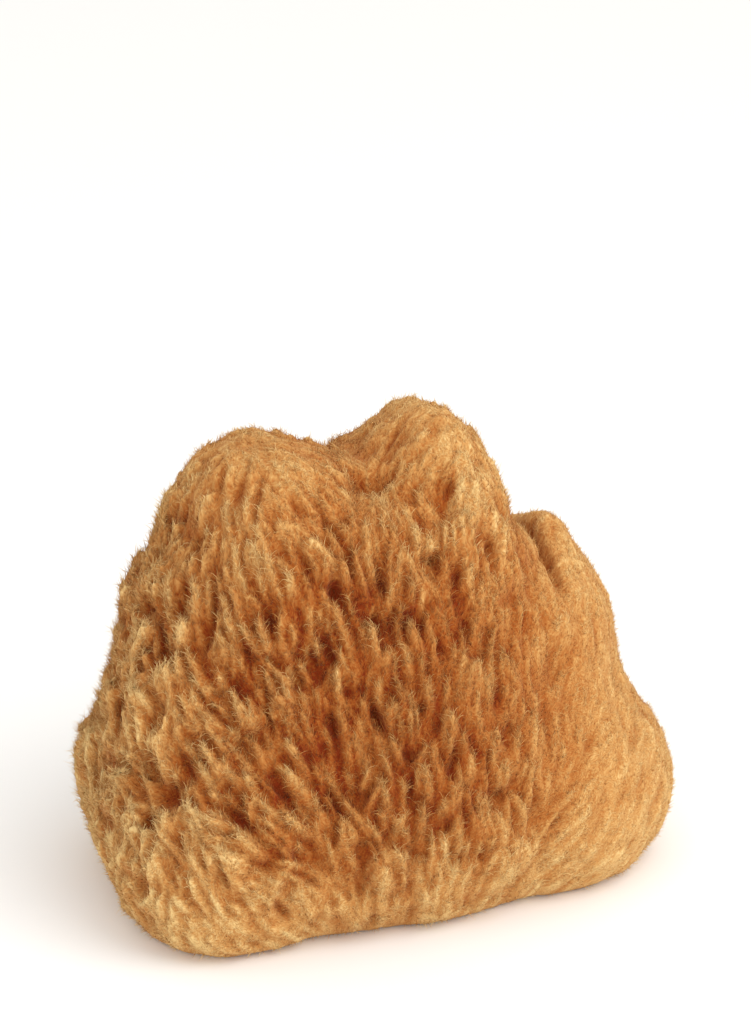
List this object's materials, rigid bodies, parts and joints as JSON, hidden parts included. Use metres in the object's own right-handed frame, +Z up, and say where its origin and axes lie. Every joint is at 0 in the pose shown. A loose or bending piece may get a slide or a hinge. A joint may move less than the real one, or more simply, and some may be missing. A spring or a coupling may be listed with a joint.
{
  "type": "sea sponge",
  "caption": "Dry natural sea sponge: a golden mound of felted fibre tufts with a top cleft and small pores, standing on its flat cut foot.",
  "frame": {"origin": "middle of the flat foot, on the surface that the sponge stands on", "axes": "+Z up along the growth, +X along the width towards the small spur, +Y to the back"},
  "size_m": [0.13, 0.088, 0.102],
  "materials": {
    "golden_fibre": "matte"
  },
  "bodies": {
    "root": {"sponge": "golden_fibre"}
  },
  "joints": []
}
